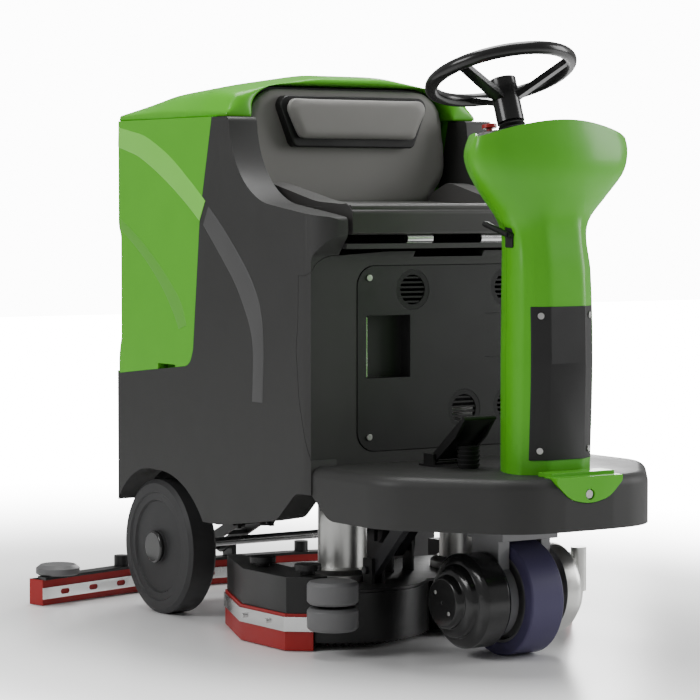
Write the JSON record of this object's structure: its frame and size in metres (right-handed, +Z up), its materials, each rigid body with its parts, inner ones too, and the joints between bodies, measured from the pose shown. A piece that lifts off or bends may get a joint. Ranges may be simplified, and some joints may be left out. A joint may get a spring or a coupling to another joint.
{
  "type": "ride-on floor scrubber",
  "caption": "Ride-on floor scrubber with a seat on a twin-tank body, a steered front drive wheel, a lifting brush deck and a swinging rear squeegee.",
  "frame": {"origin": "middle of the machine's footprint, on the floor", "axes": "+Y rearwards along the machine, so it drives towards -Y; +X to the driver's left; +Z up"},
  "size_m": [1.012, 1.4806, 1.2369],
  "materials": {
    "dark_moulding": "fine grain moulded plastic",
    "green_moulding": "satin moulded plastic",
    "panel_plastic": "fine grain moulded plastic",
    "black_plastic": "satin black",
    "pad_grey": "soft moulded foam skin",
    "pad_dark": "integral foam skin",
    "frame_paint": "dark grey powder coat",
    "black_paint": "black powder coat",
    "cast_grey": "painted casting",
    "bright_steel": "brushed",
    "zinc": "plain",
    "red_rubber": "matt",
    "black_rubber": "matt",
    "wheel_rubber": "matt",
    "drive_tread": "polyurethane",
    "roller_grey": "satin",
    "red_plastic": "satin",
    "bristle": "bristle"
  },
  "bodies": {
    "chassis": {"chassis_frame": "frame_paint", "rear_axle": "bright_steel", "main_body": "dark_moulding", "front_base": "dark_moulding", "access_panel": "panel_plastic", "panel_vents": "black_plastic", "latch_plate": "bright_steel", "cover_screws": "zinc", "recovery_tank": "green_moulding", "backrest_shell": "black_plastic", "backrest_pad": "pad_grey", "headrest_shell": "black_plastic", "headrest_pad": "pad_grey", "seat_hinges": "bright_steel", "column_front_cover": "green_moulding", "column_rear_cover": "green_moulding", "column_panel": "black_plastic", "base_flap": "green_moulding", "dash_panel": "black_plastic", "steering_boot": "black_rubber", "pedal_bracket": "black_paint", "pedal_bellows": "black_rubber", "slewing_ring": "black_paint", "batteries": "black_plastic", "vacuum_motor": "black_plastic", "controller_box": "zinc"},
    "tank_lid": {"tank_lid": "green_moulding"},
    "seat": {"seat_deck": "pad_dark"},
    "steering": {"steering_wheel": "black_plastic", "steering_shaft": "bright_steel"},
    "fork": {"drive_fork": "cast_grey", "traction_motor": "black_paint", "gear_case": "zinc"},
    "drive_wheel": {"drive_hub": "cast_grey", "drive_tyre": "drive_tread"},
    "rear_wheel_right": {"rear_wheel_right": "wheel_rubber"},
    "rear_wheel_left": {"rear_wheel_left": "wheel_rubber"},
    "deck_arms": {"deck_arms": "frame_paint"},
    "deck_link": {"deck_link": "frame_paint"},
    "deck": {"brush_deck": "black_paint", "deck_side_boxes": "black_plastic", "deck_blades": "red_rubber", "deck_blade_strips": "bright_steel", "brush_motors": "zinc"},
    "brush_right": {"brush_right": "bristle"},
    "brush_left": {"brush_left": "bristle"},
    "deck_roller": {"deck_roller": "roller_grey"},
    "squeegee_swing": {"squeegee_swing": "black_paint"},
    "squeegee": {"squeegee_lift_arm": "black_paint", "squeegee_frame": "black_paint", "squeegee_blades": "red_rubber", "squeegee_strips": "bright_steel"},
    "squeegee_roller_right": {"squeegee_roller_right": "roller_grey"},
    "squeegee_roller_left": {"squeegee_roller_left": "roller_grey"},
    "pedal": {"pedal": "black_plastic"},
    "column_lever": {"column_lever": "black_plastic"},
    "key_switch": {"key_switch": "bright_steel"},
    "emergency_button": {"emergency_button": "red_plastic"},
    "horn_button": {"horn_button": "black_plastic"}
  },
  "joints": [
    {"name": "steering_turn", "type": "hinge", "parent": "chassis", "child": "steering", "pos_m": [0, -0.4447, 1.1753], "axis": [0, 0.3354, 0.9421], "range_deg": [-280, 280]},
    {"name": "fork_steer", "type": "hinge", "parent": "chassis", "child": "fork", "pos_m": [0, -0.4923, 0.26], "axis": [0, 0, 1], "range_deg": [-70, 70]},
    {"name": "drive_wheel_spin", "type": "hinge", "parent": "fork", "child": "drive_wheel", "pos_m": [0, -0.4923, 0.1174], "axis": [1, 0, 0], "continuous": true},
    {"name": "rear_wheel_right_spin", "type": "hinge", "parent": "chassis", "child": "rear_wheel_right", "pos_m": [-0.296, 0.3887, 0.15], "axis": [1, 0, 0], "continuous": true},
    {"name": "rear_wheel_left_spin", "type": "hinge", "parent": "chassis", "child": "rear_wheel_left", "pos_m": [0.296, 0.3887, 0.15], "axis": [1, 0, 0], "continuous": true},
    {"name": "tank_lid_hinge", "type": "hinge", "parent": "chassis", "child": "tank_lid", "pos_m": [0, 0.5457, 1.104], "axis": [-1, 0, 0], "range_deg": [0, 80]},
    {"name": "seat_hinge", "type": "hinge", "parent": "chassis", "child": "seat", "pos_m": [0, -0.2893, 0.842], "axis": [1, 0, 0], "range_deg": [0, 55]},
    {"name": "deck_lift", "type": "hinge", "parent": "chassis", "child": "deck_arms", "pos_m": [0, -0.3263, 0.268], "axis": [1, 0, 0], "range_deg": [0, 20]},
    {"name": "deck_level", "type": "hinge", "parent": "deck_arms", "child": "deck", "pos_m": [0, -0.2063, 0.151], "axis": [1, 0, 0], "range_deg": [-20, 0]},
    {"name": "deck_link_swing", "type": "hinge", "parent": "chassis", "child": "deck_link", "pos_m": [0, -0.2013, 0.29], "axis": [1, 0, 0], "range_deg": [0, 20]},
    {"name": "brush_right_spin", "type": "hinge", "parent": "deck", "child": "brush_right", "pos_m": [-0.178, -0.1013, 0.08], "axis": [0, 0, 1], "continuous": true},
    {"name": "brush_left_spin", "type": "hinge", "parent": "deck", "child": "brush_left", "pos_m": [0.178, -0.1013, 0.08], "axis": [0, 0, 1], "continuous": true},
    {"name": "deck_roller_spin", "type": "hinge", "parent": "deck", "child": "deck_roller", "pos_m": [-0.325, -0.3183, 0.103], "axis": [0, 0, 1], "continuous": true},
    {"name": "squeegee_swing_pivot", "type": "hinge", "parent": "chassis", "child": "squeegee_swing", "pos_m": [0, 0.4707, 0.19], "axis": [0, 0, 1], "range_deg": [-10, 10]},
    {"name": "squeegee_lift", "type": "hinge", "parent": "squeegee_swing", "child": "squeegee", "pos_m": [0, 0.5147, 0.172], "axis": [1, 0, 0], "range_deg": [0, 25]},
    {"name": "squeegee_roller_right_spin", "type": "hinge", "parent": "squeegee", "child": "squeegee_roller_right", "pos_m": [-0.444, 0.6447, 0.08], "axis": [0, 0, 1], "continuous": true},
    {"name": "squeegee_roller_left_spin", "type": "hinge", "parent": "squeegee", "child": "squeegee_roller_left", "pos_m": [0.444, 0.6447, 0.08], "axis": [0, 0, 1], "continuous": true},
    {"name": "pedal_press", "type": "hinge", "parent": "chassis", "child": "pedal", "pos_m": [-0.086, -0.38322, 0.3877], "axis": [1, 0, 0], "range_deg": [0, 8], "stiffness_Nm_per_rad": 12, "springref_deg": -6.88, "deforming": ["pedal_bellows"]},
    {"name": "lever_tilt", "type": "hinge", "parent": "chassis", "child": "column_lever", "pos_m": [-0.099, -0.6003, 0.853], "axis": [-1, 0, 0], "range_deg": [0, 18]},
    {"name": "key_turn", "type": "hinge", "parent": "chassis", "child": "key_switch", "pos_m": [0.092, -0.5323, 1.05465], "axis": [0, 0.165, 0.9863], "range_deg": [-70, 0]},
    {"name": "emergency_press", "type": "slide", "parent": "chassis", "child": "emergency_button", "axis": [0, 0.165, 0.9863], "range_m": [-0.004, 0], "stiffness_N_per_m": 600, "springref_m": 0.001},
    {"name": "horn_press", "type": "slide", "parent": "chassis", "child": "horn_button", "axis": [0, 0.165, 0.9863], "range_m": [-0.002, 0], "stiffness_N_per_m": 400, "springref_m": 0.001}
  ],
  "couplings": [
    {"joint": "fork_steer", "follows": "steering_turn", "ratio": 0.25},
    {"joint": "deck_level", "follows": "deck_lift", "ratio": -1},
    {"joint": "deck_link_swing", "follows": "deck_lift", "ratio": 1}
  ]
}
